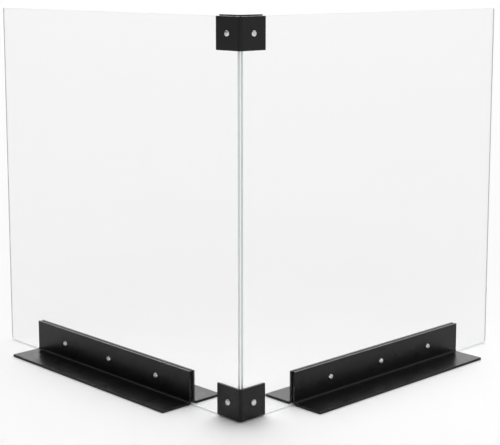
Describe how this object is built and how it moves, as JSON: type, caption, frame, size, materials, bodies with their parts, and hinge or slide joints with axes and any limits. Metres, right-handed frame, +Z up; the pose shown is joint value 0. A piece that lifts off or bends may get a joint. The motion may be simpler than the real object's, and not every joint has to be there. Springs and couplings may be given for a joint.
{
  "type": "sneeze guard",
  "caption": "Corner countertop sneeze guard: clear acrylic panels joined at a right angle by black brackets and standing in bolted black angle feet.",
  "frame": {"origin": "on the counter, under the middle of the bounding box", "axes": "+X along the right panel and +Y along the left panel, both away from the corner where they meet, +Z up"},
  "size_m": [0.6682, 0.6682, 0.604],
  "materials": {
    "clear_acrylic": "gloss",
    "black_powder_coat": "satin",
    "stainless_steel": "satin"
  },
  "bodies": {
    "root": {"left_panel": "clear_acrylic", "right_panel": "clear_acrylic", "top_outer_corner_bracket": "black_powder_coat", "top_inner_corner_bracket": "black_powder_coat", "bottom_outer_corner_bracket": "black_powder_coat", "bottom_inner_corner_bracket": "black_powder_coat", "left_foot_front_angle": "black_powder_coat", "left_foot_rear_angle": "black_powder_coat", "right_foot_front_angle": "black_powder_coat", "right_foot_rear_angle": "black_powder_coat", "top_corner_left_screw": "stainless_steel", "top_corner_left_washer": "stainless_steel", "top_corner_left_nut": "stainless_steel", "top_corner_right_screw": "stainless_steel", "top_corner_right_washer": "stainless_steel", "top_corner_right_nut": "stainless_steel", "bottom_corner_left_screw": "stainless_steel", "bottom_corner_left_washer": "stainless_steel", "bottom_corner_left_nut": "stainless_steel", "bottom_corner_right_screw": "stainless_steel", "bottom_corner_right_washer": "stainless_steel", "bottom_corner_right_nut": "stainless_steel", "left_foot_1_screw": "stainless_steel", "left_foot_1_washer": "stainless_steel", "left_foot_1_nut": "stainless_steel", "left_foot_2_screw": "stainless_steel", "left_foot_2_washer": "stainless_steel", "left_foot_2_nut": "stainless_steel", "left_foot_3_screw": "stainless_steel", "left_foot_3_washer": "stainless_steel", "left_foot_3_nut": "stainless_steel", "right_foot_1_screw": "stainless_steel", "right_foot_1_washer": "stainless_steel", "right_foot_1_nut": "stainless_steel", "right_foot_2_screw": "stainless_steel", "right_foot_2_washer": "stainless_steel", "right_foot_2_nut": "stainless_steel", "right_foot_3_screw": "stainless_steel", "right_foot_3_washer": "stainless_steel", "right_foot_3_nut": "stainless_steel"}
  },
  "joints": []
}
